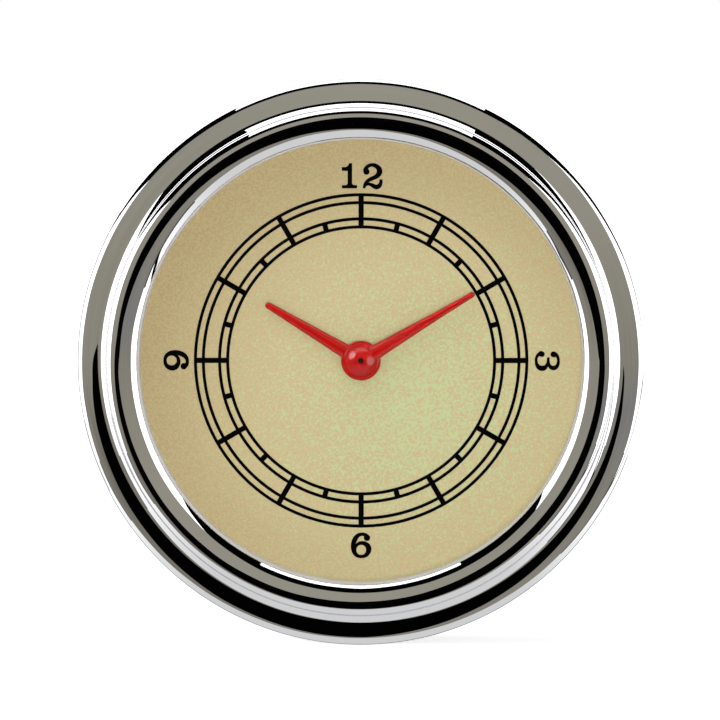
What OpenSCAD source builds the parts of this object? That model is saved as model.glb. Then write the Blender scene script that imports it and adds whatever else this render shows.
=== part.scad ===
// Round panel clock for a dashboard, 2-3/8 inch chrome bezel over a 2-1/8 inch panel hole.
// The clock lies along Y: the dial faces -Y, 12 o'clock points to +Z, and the origin is the
// centre of the bezel's back face, where it seats on the panel.
// Inside each module the clock stands on its back: +Z is towards the viewer, +Y towards 12.

/* [Bezel] */
// Outside diameter of the bezel
bezel_d = 60.3; // [60.1:0.1:60.8]
// Height of the bezel's crest in front of the panel
bezel_h = 5.7; // [5.6:0.05:6.2]
// Radius of the crest, the ring that stands nearest to the viewer
crest_r = 25.9; // [25.8:0.05:25.95]
// Thickness of the bezel's sheet
bezel_t = 0.5; // [0.4:0.05:0.55]

/* [Case] */
// Outside diameter of the drawn can, which goes through a 54 mm panel hole
can_d = 52.6; // [52:0.1:53]
// Depth of the can behind the panel
can_depth = 34; // [33:0.5:38]
// Thickness of the can's wall
can_t = 0.7; // [0.5:0.1:0.8]

/* [Dial and lens] */
// Thickness of the flat lens
lens_t = 2; // [1.5:0.1:2]
// Radius of the dial that shows inside the light ring
dial_window_r = 23.5; // [23.2:0.05:23.55]
// Thickness of the dial
dial_t = 0.6; // [0.4:0.1:0.8]

/* [Hands] */
// Length of the minute hand from the centre to its tip
minute_hand_l = 14.1; // [10:0.1:20]
// Length of the hour hand from the centre to its tip
hour_hand_l = 11.9; // [8:0.1:18]
// Where the minute hand points at rest, in degrees clockwise from 12
minute_angle = 59.3; // [0:0.1:360]
// Where the hour hand points at rest, in degrees clockwise from 12
hour_angle = 300.7; // [0:0.1:360]
// Radius of the flange round the minute hand's domed hub
hub_r = 1.86; // [1.8:0.02:1.94]

/* [Gears] */
// Tooth size of the drive from the centre wheel and under the dial
module_drive = 0.25; // [0.24:0.01:0.26]
// Thickness taken off each tooth for free running, as a share of the module
backlash = 0.16; // [0.12:0.01:0.22]

/* [Mounting] */
// Distance between the two mounting studs
stud_spacing = 32; // [31:0.5:33]
// Radius of the mounting studs
stud_r = 2; // [1.8:0.1:2]
// Gap between the bezel's back face and the bracket's feet, where the panel goes
panel_gap = 5; // [4.5:0.1:6]
// Width of the clamp bracket's strap
strap_w = 11; // [9:0.5:11]

/* [Hidden] */
$fn = 64;
eps = 0.01;

// Front stack: heights in front of the panel face, at z = 0
bezel_r = bezel_d / 2;
foot_arc = 0.66;
lip_r = crest_r - 2.25;
// The bezel's outside, from lip to edge: how far it tilts outwards, and at what radius
stations = [
    [-90, lip_r], [-44.3, crest_r - 2.1], [-42, crest_r - 1.785], [-34, crest_r - 1.23],
    [0, crest_r], [34, crest_r + 0.39], [42, crest_r + 0.73], [54.5, crest_r + 0.985],
    [62, crest_r + 1.07], [54.5, crest_r + 1.155], [42, crest_r + 1.51],
    [34, crest_r + 1.83], [5.5, crest_r + 2.04],
    [34, bezel_r - 0.78], [42, bezel_r - 0.48], [90, bezel_r]
];
crest = 4;
seat_inner_r = 27.5;
can_r = can_d / 2;
can_inner_r = can_r - can_t;
can_back = -can_depth;
can_floor = can_back + can_t;
flange_r = bezel_r - bezel_t - 0.45;
flange_bottom = bezel_t + 0.1;
flange_top = flange_bottom + can_t;
gasket_t = 0.8;
lens_bottom = flange_top + gasket_t;
lens_top = lens_bottom + lens_t;
lens_r = crest_r + 0.4;
dial_top = -1.2;
dial_back = dial_top - dial_t;
dial_r = 24.9;

// Movement plates and the room between them
plate_r = 20.5;
plate_t = 1.2;
front_plate_top = -4.8;
front_plate_back = front_plate_top - plate_t;
rear_plate_top = -12.5;
rear_plate_back = rear_plate_top - plate_t;
board_top = -15.5;
board_t = 1.6;
board_back = board_top - board_t;
board_r = 19;
pillar_r = 1.8;
screw_r = 0.8;
head_r = 1.5;
pillar_at = [[16.5, 6.4], [-16.5, 6.4], [11, -13.5], [-11, -13.5]];
dial_support_at = [[0, 18.6], [16.4, -7.5], [-16.4, -7.5]];
dial_foot_at = [[13, 13.5], [-18, -2]];
board_hole_at = [[8.5, -9], [-8.5, -9], [5, 9.5]];

// Gear train: tooth counts, pitch and where each arbor stands
pressure = 20;
centre_teeth = 64;
transfer_leaves = 8;
transfer_teeth = 60;
rotor_leaves = 8;
cannon_leaves = 12;
minute_teeth = 36;
minute_leaves = 10;
hour_teeth = 40;
setting_teeth = 24;
module_rotor = 0.2;
minute_distance = module_drive * (cannon_leaves + minute_teeth) / 2;
module_hour = 2 * minute_distance / (minute_leaves + hour_teeth);
setting_distance = module_drive * (minute_teeth + setting_teeth) / 2;
transfer_distance = module_drive * (centre_teeth + transfer_leaves) / 2;
rotor_distance = module_rotor * (transfer_teeth + rotor_leaves) / 2;
transfer_direction = 150;
rotor_direction = 60;
down = -90;
minute_at = [0, -minute_distance];
setting_at = [0, -minute_distance - setting_distance];
transfer_at = transfer_distance * [cos(transfer_direction), sin(transfer_direction)];
rotor_at = transfer_at + rotor_distance * [cos(rotor_direction), sin(rotor_direction)];
running = 0.05;
arbor_r = 0.55;
pipe_r = 0.9;
tube_r = 1.35;
dial_hole_r = 1.9;

// Heights of the gears under the dial and in the train
cannon_z = -4.5;
minute_wheel_z = -4.4;
hour_wheel_z = -3.2;
wheel_t = 0.6;
centre_wheel_z = -7.5;
transfer_wheel_z = -9.2;
transfer_leaf_z = -8.1;
hour_hand_z = -0.6;
minute_hand_z = 0.15;

// Motor
magnet_r = 1.9;
stator_gap = 0.4;
stator_z = -11.4;
stator_t = 0.8;
stator_half = 6.5;
stator_screw_x = 5.2;
coil_r = 2.2;
coil_y = 15.6;
coil_pin_x = 3.95;
coil_pin_in = 1.2;
core_z = stator_z + stator_t;

// Back of the can
lamp_at = [0, 14];
lamp_hole_r = 5.8;
terminal_at = [10, -14];
washer_t = 0.6;
stud_nut_h = 3.2;
strap_t = 1.2;
strap_front = can_back - washer_t - stud_nut_h - 3.4;
strap_back = strap_front - strap_t;
clamp_washer_t = 0.8;
clamp_nut_h = 5.5;
stud_end = strap_back - clamp_washer_t - clamp_nut_h - 6.8;
strap_inner = can_r + 0.9;
strap_bend = 2.5;
foot_bend = 0.5;
foot_end = sqrt(bezel_r * bezel_r - strap_w * strap_w / 4) - 0.15;

// Stands the clock up, so that its dial faces -Y
module upright() {
    rotate([90, 0, 0]) children();
}

// Moves a shape to a point on the dial plane
module at(p, z = 0) {
    translate([p[0], p[1], z]) children();
}

module rod(r, z0, z1) {
    translate([0, 0, min(z0, z1)]) cylinder(r = r, h = abs(z1 - z0));
}

module ring(outer, inner, z0, z1) {
    difference() {
        rod(outer, z0, z1);
        rod(inner, min(z0, z1) - eps, max(z0, z1) + eps);
    }
}

// Points on an arc about c, from angle a0 to a1
function arc(c, r, a0, a1, n) =
    [for (i = [0:n]) c + r * [cos(a0 + (a1 - a0) * i / n), sin(a0 + (a1 - a0) * i / n)]];

function backwards(list) = [for (i = [len(list) - 1:-1:0]) list[i]];

// Involute function, in degrees
function involute(a) = tan(a) * 180 / PI - a;

// Half of a tooth's width at radius r, in degrees
function half_tooth(m, z, shift, r) =
    let (pitch_r = m * z / 2, base_r = pitch_r * cos(pressure))
    90 / z + (2 * shift * tan(pressure) - backlash) / z * 180 / PI + involute(pressure)
    - involute(acos(min(1, base_r / max(r, base_r))));

// Outline of a spur gear with one tooth on +X. A shift moves the teeth outwards.
function gear_points(m, z, shift, tip, steps) =
    let (
        pitch_r = m * z / 2,
        base_r = pitch_r * cos(pressure),
        root_r = pitch_r - m * (1.2 - shift),
        tip_r = pitch_r + m * (tip + shift),
        start_r = max(base_r, root_r),
        flank = [for (i = [0:steps]) start_r + (tip_r - start_r) * i / steps],
        radii = start_r > root_r ? concat([root_r], flank) : flank
    )
    [for (k = [0:z - 1], side = [-1, 1], i = [0:len(radii) - 1])
        let (
            r = side < 0 ? radii[i] : radii[len(radii) - 1 - i],
            a = 360 * k / z + side * half_tooth(m, z, shift, r)
        )
        r * [cos(a), sin(a)]];

// Angle that puts gear 2 in mesh with gear 1, where 2 lies in the given direction from 1
function mesh_angle(z1, a1, z2, direction) =
    direction + 180 + 180 / z2 - (a1 - direction) * z1 / z2;

pinion_shift = 0.45;
wheel_shift = -pinion_shift;
cannon_phase = 0;
minute_phase = mesh_angle(cannon_leaves, cannon_phase, minute_teeth, down);
minute_leaf_phase = 0;
hour_phase = mesh_angle(minute_leaves, minute_leaf_phase, hour_teeth, -down);
setting_phase = mesh_angle(minute_teeth, minute_phase, setting_teeth, down);
centre_phase = 0;
transfer_leaf_phase = mesh_angle(centre_teeth, centre_phase, transfer_leaves, transfer_direction);
transfer_phase = 0;
rotor_phase = mesh_angle(transfer_teeth, transfer_phase, rotor_leaves, rotor_direction);

// A wheel: low teeth, and arms between its rim and its hub
module wheel(m, z, bore, t, arms, hub, shift) {
    pitch_r = m * z / 2;
    rim_r = pitch_r - 4 * m;
    linear_extrude(t) difference() {
        polygon(gear_points(m, z, shift, 0.75, 2));
        circle(r = bore);
        if (arms > 0) difference() {
            circle(r = rim_r);
            circle(r = hub);
            for (k = [0:arms - 1]) rotate(k * 360 / arms)
                translate([0, -0.55]) square([pitch_r, 1.1]);
        }
    }
}

// A pinion: few leaves, moved outwards so that their roots stay thick
module pinion(m, z, bore, t) {
    linear_extrude(t) difference() {
        polygon(gear_points(m, z, pinion_shift, 0.6, 3));
        circle(r = bore);
    }
}

// Radius of the arc that ends at station i, below 0 where the outside is hollow
function arc_r(i) =
    (stations[i][1] - stations[i - 1][1]) / (sin(stations[i][0]) - sin(stations[i - 1][0]));

// How far the outside falls from the first station to station i
function fall(i) =
    i == 0 ? 0 : fall(i - 1) + arc_r(i) * (cos(stations[i - 1][0]) - cos(stations[i][0]));

// Bezel: one chrome ring. Its outside runs from the lip at the lens over the crest, down the
// step, across the broad band and round the edge. The inside is the same path, one sheet lower.
function bezel_path(lower, first) =
    [for (i = [first:len(stations) - 1])
        let (
            from = stations[i - 1], to = stations[i],
            z = bezel_h + fall(crest) - fall(i - 1),
            n = 1 + ceil(abs(to[0] - from[0]) / 8)
        )
        for (k = [i == first ? 0 : 1:n])
            let (
                a = from[0] + (to[0] - from[0]) * k / n,
                r = from[1] + arc_r(i) * (sin(a) - sin(from[0])) - lower * sin(a),
                h = z - arc_r(i) * (cos(from[0]) - cos(a)) - lower * cos(a)
            )
            [r, i <= crest ? max(lens_top, h) : h]];

module bezel() {
    foot_c = [bezel_r - foot_arc, foot_arc];
    color("gainsboro") upright() rotate_extrude($fn = 128)
        polygon(concat(
            [[lip_r, lens_top]],
            bezel_path(0, 1),
            arc(foot_c, foot_arc, 0, -90, 5),
            [[seat_inner_r, 0], [seat_inner_r, bezel_t], [foot_c[0], bezel_t]],
            arc(foot_c, foot_arc - bezel_t, -60, 0, 2),
            backwards(bezel_path(bezel_t, 2)),
            [[stations[1][1] - bezel_t * sin(stations[1][0]), lens_top]]
        ));
}

// Lens: flat glass with ground edges, held down by the bezel's lip
module lens() {
    edge = 0.25;
    color("lightcyan", 0.35) upright() rotate_extrude($fn = 128)
        polygon([
            [0, lens_bottom], [lens_r - edge, lens_bottom], [lens_r, lens_bottom + edge],
            [lens_r, lens_top - edge], [lens_r - edge, lens_top], [0, lens_top]
        ]);
}

// Rubber ring between the can's flange and the lens
module lens_gasket() {
    color([0.09, 0.09, 0.09]) upright() rotate_extrude($fn = 96)
        polygon([
            [can_inner_r + 0.05, flange_top], [lens_r, flange_top],
            [lens_r, lens_bottom], [can_inner_r + 0.05, lens_bottom]
        ]);
}

// Pale ring between dial and lens, which carries the lamp's light round the dial's edge
module light_ring() {
    color([0.8, 0.79, 0.77]) upright() rotate_extrude($fn = 96)
        polygon([
            [dial_window_r, dial_top], [dial_window_r + 0.1, lens_bottom - 0.4],
            [dial_window_r + 0.35, lens_bottom - eps], [can_inner_r - 0.3, lens_bottom - eps],
            [can_inner_r - 0.3, dial_top]
        ]);
}

// Can: drawn steel cup with a round corner at the back and a flange at the mouth.
// Its back has holes for the studs, the lamp holder, the setting arbor and the terminals.
module case_can() {
    corner = 2.5;
    root = 0.5;
    notch_r = 7.1;
    color([0.3, 0.3, 0.31]) upright() difference() {
        rotate_extrude($fn = 96) polygon(concat(
            [[can_inner_r, flange_top], [flange_r, flange_top], [flange_r, flange_bottom]],
            arc([can_r + root, flange_bottom - root], root, 90, 180, 4),
            arc([can_r - corner, can_back + corner], corner, 0, -90, 6),
            [[0, can_back], [0, can_floor]],
            arc([can_r - corner, can_back + corner], corner - can_t, -90, 0, 6)
        ));
        for (s = [-1, 1]) {
            at([s * stud_spacing / 2, 0]) rod(stud_r + 0.15, can_back - 1, can_floor + 1);
            at([s * terminal_at[0], terminal_at[1]]) rod(2.7, can_back - 1, can_floor + 1);
            // Way in for the lamp holder's two lugs, an eighth of a turn from where they lock
            at(lamp_at) rotate(-45) translate([s * notch_r / 2, 0, can_back])
                cube([notch_r, 2.6, 4 * can_t], center = true);
        }
        at(lamp_at) rod(lamp_hole_r, can_back - 1, can_floor + 1);
        at(setting_at) rod(1.3, can_back - 1, can_floor + 1);
    }
}

// Dial: flat metal disc with two feet that plug into the front plate
module dial() {
    color([0.8, 0.73, 0.56]) upright() {
        ring(dial_r, dial_hole_r, dial_back, dial_top);
        for (p = dial_foot_at) at(p) rod(0.8, dial_back + eps, front_plate_back);
    }
}

// Arm of a hand: an arched bar that narrows from its hub to a round tip, along +Y
module hand_arm(from, to, root_w, tip_w, z, rise) {
    tip_r = tip_w / 2;
    hull() {
        translate([0, from, z]) intersection() {
            rotate([90, 0, 0]) cylinder(r = root_w / 2, h = eps, $fn = 24);
            translate([-root_w, -1, 0]) cube([2 * root_w, 2, rise]);
        }
        translate([0, to - tip_r, z]) cylinder(r1 = tip_r, r2 = tip_r * 0.6, h = rise * 0.6, $fn = 20);
    }
}

module hour_hand() {
    hub_h = 0.5;
    color([0.72, 0.06, 0.05]) upright() rotate(-hour_angle) {
        ring(hub_r + 0.26, tube_r, hour_hand_z, hour_hand_z + hub_h);
        difference() {
            hand_arm(1.5, hour_hand_l, 1.62, 0.62, hour_hand_z + 0.05, 0.5);
            rod(tube_r + 0.2, hour_hand_z - 1, hour_hand_z + 1);
        }
    }
}

module minute_hand() {
    hub_h = 1.15;
    hole_r = 0.3;
    dome_r = hub_r - 0.2;
    lean = 68;
    top = minute_hand_z + hub_h;
    color([0.72, 0.06, 0.05]) upright() rotate(-minute_angle) {
        rotate_extrude() polygon(concat(
            [[pipe_r, minute_hand_z], [hub_r, minute_hand_z]],
            [[hub_r, top - dome_r * (1 - cos(lean))]],
            [for (i = [0:8]) let (a = lean + (asin(hole_r / dome_r) - lean) * i / 8)
                [dome_r * sin(a), top - dome_r * (1 - cos(a))]],
            [[hole_r, top - 0.5], [pipe_r, top - 0.5]]
        ));
        difference() {
            hand_arm(1.1, minute_hand_l, 1.66, 0.52, minute_hand_z + 0.05, 0.62);
            rod(pipe_r + 0.1, minute_hand_z - 1, minute_hand_z + 1);
        }
    }
}

// Hour wheel: its tube turns on the cannon pinion's pipe and carries the hour hand
module hour_wheel() {
    color("goldenrod") upright() difference() {
        union() {
            translate([0, 0, hour_wheel_z]) rotate(hour_phase)
                wheel(module_hour, hour_teeth, pipe_r + running, wheel_t, 0, 2, wheel_shift);
            rod(tube_r, hour_wheel_z + wheel_t, hour_hand_z + 0.5);
        }
        rod(pipe_r + running, hour_wheel_z - 1, hour_hand_z + 1);
    }
}

// Cannon pinion: held on the centre arbor by friction, so that the hands can be set
module cannon_pinion() {
    leaf_h = 1;
    color("silver") upright() {
        translate([0, 0, cannon_z]) rotate(cannon_phase)
            pinion(module_drive, cannon_leaves, arbor_r, leaf_h);
        ring(pipe_r, arbor_r, cannon_z + leaf_h, minute_hand_z + 0.6);
    }
}

module centre_arbor() {
    color("silver") upright() rod(arbor_r, rear_plate_back + 0.3, minute_hand_z + 0.55);
}

module centre_wheel() {
    color("goldenrod") upright() {
        translate([0, 0, centre_wheel_z]) rotate(centre_phase)
            wheel(module_drive, centre_teeth, arbor_r, wheel_t, 4, 2.2, wheel_shift);
        ring(1.3, arbor_r, centre_wheel_z - 0.8, centre_wheel_z);
    }
}

// Dished spring on the centre arbor, which presses the clutch together
module clutch_spring() {
    bottom = centre_wheel_z - 0.8;
    color("silver") upright() rotate_extrude() polygon([
        [arbor_r, bottom], [1.9, bottom - 0.45], [1.9, bottom - 0.6], [arbor_r, bottom - 0.15]
    ]);
}

// Minute wheel and its pinion, which reduce the minute hand's turn by twelve for the hour hand
module minute_wheel() {
    color("goldenrod") upright() at(minute_at) {
        translate([0, 0, minute_wheel_z]) rotate(minute_phase)
            wheel(module_drive, minute_teeth, 0.65, wheel_t, 0, 2, wheel_shift);
        translate([0, 0, minute_wheel_z + wheel_t]) rotate(minute_leaf_phase)
            pinion(module_hour, minute_leaves, 0.65, 1.3);
    }
}

module setting_wheel() {
    color("ivory") upright() at(setting_at, minute_wheel_z) rotate(setting_phase)
        wheel(module_drive, setting_teeth, 1, wheel_t, 0, 2, pinion_shift);
}

module setting_arbor() {
    color("silver") upright() at(setting_at) {
        rod(1, -3.5, can_back - 6);
        ring(1.7, 1, rear_plate_top + 0.1, rear_plate_top + 0.8);
    }
}

// Fluted knob on the back, which sets the hands
module setting_knob() {
    knob_r = 5;
    flutes = 16;
    knob_top = can_back - 0.8;
    knob_h = 6.6;
    color([0.12, 0.12, 0.12]) upright() at(setting_at) difference() {
        union() {
            translate([0, 0, knob_top - knob_h]) linear_extrude(knob_h - 1.2) difference() {
                circle(r = knob_r);
                for (k = [0:flutes - 1]) rotate(k * 360 / flutes)
                    translate([knob_r + 0.25, 0]) circle(r = 0.7, $fn = 16);
            }
            rod(2.6, knob_top - 1.2, knob_top);
        }
        rod(1, can_back - 6, knob_top + 1);
        rod(3.4, knob_top - knob_h - 1, knob_top - knob_h + 0.5);
    }
}

// Transfer wheel and pinion, between the rotor and the centre wheel
module transfer_wheel() {
    color("goldenrod") upright() at(transfer_at) {
        translate([0, 0, transfer_wheel_z]) rotate(transfer_phase)
            wheel(module_rotor, transfer_teeth, 0.45, wheel_t, 4, 1.7, wheel_shift);
        ring(1.1, 0.45, transfer_wheel_z + wheel_t - eps, transfer_leaf_z + eps);
        translate([0, 0, transfer_leaf_z]) rotate(transfer_leaf_phase)
            pinion(module_drive, transfer_leaves, 0.45, 1.8);
    }
}

module transfer_arbor() {
    color("silver") upright() at(transfer_at)
        rod(0.45, rear_plate_back + 0.3, front_plate_top - 0.3);
}

module rotor_magnet() {
    color([0.25, 0.25, 0.27]) upright() at(rotor_at)
        ring(magnet_r, 0.3, stator_z - 0.4, stator_z + 1.4);
}

module rotor_pinion() {
    leaf_top = transfer_wheel_z + wheel_t + 0.4;
    color("ivory") upright() at(rotor_at) {
        translate([0, 0, leaf_top - 1.6]) rotate(rotor_phase)
            pinion(module_rotor, rotor_leaves, 0.2, 1.6);
        rod(0.3, rear_plate_back + 0.3, leaf_top - 1.6 + eps);
        rod(0.3, leaf_top - eps, front_plate_top - 0.3);
        rod(0.2 + eps, leaf_top - 1.7, leaf_top + 0.1);
    }
}

// Stator: soft-iron bar, round and wide about the rotor. Two nicks leave it thin above and
// below the rotor, so that each side becomes one pole, and two more set where the rotor rests.
module stator() {
    hole_r = magnet_r + stator_gap;
    color("slategray") upright() at(rotor_at, stator_z) linear_extrude(stator_t) difference() {
        union() {
            circle(r = hole_r + 1.1);
            square([2 * stator_half, 2.6], center = true);
        }
        circle(r = hole_r);
        for (s = [-1, 1]) {
            translate([0, s * (hole_r + 1.2)]) circle(r = 0.7, $fn = 24);
            rotate(45) translate([s * hole_r, 0]) circle(r = 0.35, $fn = 24);
            translate([s * stator_screw_x, 0]) circle(r = 0.52, $fn = 24);
        }
    }
}

module stator_screws() {
    color("silver") upright() for (s = [-1, 1]) at([rotor_at[0] + s * stator_screw_x, rotor_at[1]]) {
        rod(0.9, core_z + stator_t, core_z + stator_t + 0.35);
        rod(0.5, core_z + stator_t + eps, rear_plate_top);
    }
}

// Core of the coil: a flat staple whose rounded feet lie on the stator's ends
module coil_core() {
    leg = 1.9;
    color("slategray") upright() translate([rotor_at[0], 0, core_z]) linear_extrude(stator_t)
        difference() {
            union() {
                translate([-stator_half, coil_y - 0.8]) square([2 * stator_half, 1.6]);
                for (s = [-1, 1]) {
                    translate([s * (stator_half - leg / 2) - leg / 2, rotor_at[1]])
                        square([leg, coil_y - rotor_at[1] - 0.7]);
                    translate([s * stator_screw_x, rotor_at[1]]) circle(r = 1.1);
                }
            }
            for (s = [-1, 1]) translate([s * stator_screw_x, rotor_at[1]])
                circle(r = 0.52, $fn = 24);
        }
}

// Moves to the middle of the coil, with Z along the coil
module along_coil() {
    translate([rotor_at[0], coil_y, core_z + stator_t / 2]) rotate([0, 90, 0]) children();
}

module coil_bobbin() {
    wall = 0.9;
    color("white") upright() along_coil() difference() {
        union() {
            cylinder(r = 1.25, h = 2 * coil_pin_x, center = true);
            for (s = [-1, 1]) translate([0, 0, s * coil_pin_x])
                cylinder(r = coil_r, h = wall, center = true);
        }
        cube([stator_t + 0.04, 1.64, 20], center = true);
        for (s = [-1, 1]) translate([0, -coil_pin_in, s * coil_pin_x]) rotate([0, 90, 0])
            cylinder(r = 0.25, h = 4, $fn = 24);
    }
}

module coil_winding() {
    color([0.65, 0.3, 0.12]) upright() along_coil()
        ring(coil_r - 0.2, 1.27, 0.5 - coil_pin_x, coil_pin_x - 0.5);
}

// Pins that the ends of the winding are wrapped on, from the bobbin's flanges to the board
module coil_pins() {
    color("silver") upright() for (s = [-1, 1])
        at([rotor_at[0] + s * coil_pin_x, coil_y - coil_pin_in])
            rod(0.25, core_z + stator_t / 2 - 1.1, board_back - 0.3);
}

module holes(points, r, z0, z1) {
    for (p = points) at(p) rod(r, z0, z1);
}

// Front plate: moulded, with pads that carry the dial and a post for the minute wheel
module front_plate() {
    color("ivory") upright() {
        difference() {
            union() {
                rod(plate_r, front_plate_back, front_plate_top);
                for (p = dial_support_at) at(p) rod(1.4, front_plate_top - eps, dial_back);
            }
            rod(arbor_r + running, -20, 0);
            at(setting_at) rod(1 + running, -20, 0);
            at(transfer_at) rod(0.45 + running, -20, 0);
            at(rotor_at) rod(0.3 + running, -20, 0);
            holes(dial_foot_at, 0.85, -20, 0);
            holes(pillar_at, 0.9, -20, 0);
        }
        at(minute_at) rod(0.6, front_plate_top - eps, -2.3);
    }
}

// Rear plate: moulded, with two bosses under the stator's ends
module rear_plate() {
    color("ivory") upright() difference() {
        union() {
            rod(plate_r, rear_plate_back, rear_plate_top);
            for (s = [-1, 1]) at([rotor_at[0] + s * stator_screw_x, rotor_at[1]])
                rod(1.3, rear_plate_top - eps, stator_z);
        }
        rod(arbor_r + running, -20, 0);
        at(setting_at) rod(1 + running, -20, 0);
        at(transfer_at) rod(0.45 + running, -20, 0);
        at(rotor_at) rod(0.3 + running, -20, 0);
        holes(pillar_at, screw_r + 0.1, -20, 0);
        holes(board_hole_at, screw_r + 0.02, -20, 0);
        for (s = [-1, 1]) {
            at([rotor_at[0] + s * stator_screw_x, rotor_at[1]]) rod(0.52, rear_plate_top, 0);
            at([s * stud_spacing / 2, 0]) rod(stud_r + 0.02, -20, 0);
            at([rotor_at[0] + s * coil_pin_x, coil_y - coil_pin_in]) rod(0.6, -20, 0);
        }
    }
}

// Pillars: turned posts, riveted in the front plate and tapped for the rear plate's screws
module plate_pillars() {
    color("goldenrod") upright() for (p = pillar_at) at(p) difference() {
        union() {
            rod(pillar_r, rear_plate_top, front_plate_back);
            rod(0.88, front_plate_back - eps, front_plate_top);
        }
        rod(screw_r + 0.02, rear_plate_top - 1, rear_plate_top + 3);
    }
}

// Cheese-head screw whose head rests on z and whose shank runs forward
module screw(z, shank) {
    difference() {
        union() {
            rod(head_r, z - 1, z);
            rod(screw_r, z - eps, z + shank);
        }
        translate([0, 0, z - 0.9]) cube([4 * head_r, 0.35, 0.6], center = true);
    }
}

module plate_screws() {
    color("silver") upright() for (p = pillar_at) at(p) screw(rear_plate_back, 3.6);
}

// Circuit board behind the rear plate
module circuit_board() {
    color([0.05, 0.3, 0.16]) upright() difference() {
        rod(board_r, board_back, board_top);
        for (s = [-1, 1]) {
            at([s * stud_spacing / 2, 0]) rod(3.7, -20, 0);
            translate([s * board_r, 0, board_top]) cube([6, 7.4, 4], center = true);
            at([rotor_at[0] + s * coil_pin_x, coil_y - coil_pin_in]) rod(0.3, -20, 0);
            at([s * terminal_at[0], terminal_at[1]]) translate([-1.05, -0.45, board_back - 1])
                cube([2.1, 0.9, 4]);
        }
        at(setting_at) rod(1.6, -20, 0);
        holes(board_hole_at, screw_r + 0.05, -20, 0);
    }
}

module board_spacers() {
    color("silver") upright() for (p = board_hole_at) at(p)
        ring(1.7, screw_r + 0.02, board_top, rear_plate_back);
}

module board_screws() {
    color("silver") upright() for (p = board_hole_at) at(p)
        screw(board_back, rear_plate_back - board_back + 1);
}

module quartz_crystal() {
    color("gainsboro") upright() translate([7, 2.5, board_back - 1.1]) rotate([90, 0, 0]) {
        cylinder(r = 1.05, h = 6, $fn = 24);
        for (s = [-1, 1]) translate([s * 0.5, 0, 6 - eps]) cylinder(r = 0.15, h = 1.4, $fn = 16);
    }
}

module driver_chip() {
    color([0.08, 0.08, 0.08]) upright() {
        translate([-2.5, -3.9, board_back - 1.6]) cube([5, 3.9, 1.5]);
        for (s = [0, 1], k = [0:3]) translate([k * 1.27 - 2.1, s * 5 - 5.05, board_back - 0.6])
            cube([0.4, 1.2, 0.6]);
    }
}

module capacitor() {
    color([0.1, 0.15, 0.4]) upright() at([-8.5, 3]) {
        rod(3, board_back, board_back - 1);
        rod(2.8, board_back - 1 + eps, board_back - 1.4);
        rod(3, board_back - 1.4 + eps, board_back - 7);
    }
}

module surge_diode() {
    color([0.1, 0.1, 0.1]) upright() translate([9.5, 8, board_back - 1.4]) rotate([0, 90, 30]) {
        cylinder(r = 1.35, h = 5, center = true, $fn = 24);
        cylinder(r = 0.35, h = 7.6, center = true, $fn = 16);
    }
}

// Studs: screwed into the rear plate, through the can's back, for the clamp bracket
module mounting_studs() {
    tip = 0.6;
    color("silver") upright() for (s = [-1, 1]) at([s * stud_spacing / 2, 0])
        rotate_extrude() polygon([
            [0, stud_end], [stud_r - tip, stud_end], [stud_r, stud_end + tip],
            [stud_r, rear_plate_top], [0, rear_plate_top]
        ]);
}

module stud_sleeves() {
    color("silver") upright() for (s = [-1, 1]) at([s * stud_spacing / 2, 0])
        ring(3.2, stud_r + 0.02, can_floor, rear_plate_back);
}

module stud_washers() {
    color("silver") upright() for (s = [-1, 1]) at([s * stud_spacing / 2, 0])
        ring(3.7, stud_r + 0.1, can_back - washer_t, can_back);
}

module stud_nuts() {
    color("silver") upright() for (s = [-1, 1]) at([s * stud_spacing / 2, 0], can_back - washer_t)
        difference() {
            translate([0, 0, -stud_nut_h]) cylinder(r = 4.04, h = stud_nut_h, $fn = 6);
            rod(stud_r + 0.02, -stud_nut_h - 1, 1);
        }
}

// Insulating bushes that carry the two blades through the can's back
module terminal_bushes() {
    color([0.5, 0.1, 0.08]) upright() for (s = [-1, 1])
        at([s * terminal_at[0], terminal_at[1]]) difference() {
            union() {
                rod(3.5, can_back - 1.6, can_back);
                rod(2.65, can_back - eps, can_floor);
                rod(3.3, can_floor, can_floor + 1);
            }
            translate([0, 0, can_back]) cube([2.04, 0.84, 10], center = true);
        }
}

// Flat blade with a hole near its end, and a narrow pin that reaches the circuit board
module blade_terminal() {
    thick = 0.8;
    difference() {
        union() {
            translate([-1, -thick / 2, can_back - 1.7]) cube([2, thick, board_top - can_back + 1.9]);
            translate([-3.15, -thick / 2, can_back - 9.6]) cube([6.3, thick, 8]);
        }
        translate([0, 1, can_back - 6.6]) rotate([90, 0, 0]) cylinder(r = 0.8, h = 2, $fn = 24);
        for (s = [-1, 1]) translate([s * 3.15, 0, can_back - 9.6]) rotate([0, 45, 0])
            cube([1.4, 2, 1.4], center = true);
    }
}

module power_terminal() {
    color("goldenrod") upright() at([terminal_at[0], terminal_at[1]]) blade_terminal();
}

module ground_terminal() {
    color("goldenrod") upright() at([-terminal_at[0], terminal_at[1]]) blade_terminal();
}

// Bulb socket: pushed through the can's back and locked with an eighth of a turn
module lamp_holder() {
    tail_end = can_back - 8.2;
    color([0.13, 0.13, 0.13]) upright() at(lamp_at) difference() {
        union() {
            rod(7.5, can_back - 1.2, can_back - 0.05);
            rod(lamp_hole_r - 0.15, can_back - 0.06, can_floor + 4);
            rod(5, can_back - 1.19, tail_end);
            for (s = [-1, 1]) {
                translate([s * 6.1, 0, can_floor + 0.75]) cube([1.6, 2.2, 1.3], center = true);
                translate([0, s * 4.9, tail_end + 3]) cube([1.4, 1.6, 6], center = true);
            }
        }
        rod(4.65, can_floor + 1, can_floor + 5);
        for (s = [-1, 1]) translate([s * 2.6, 0, can_back]) cube([0.64, 3.04, 30], center = true);
    }
}

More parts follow.
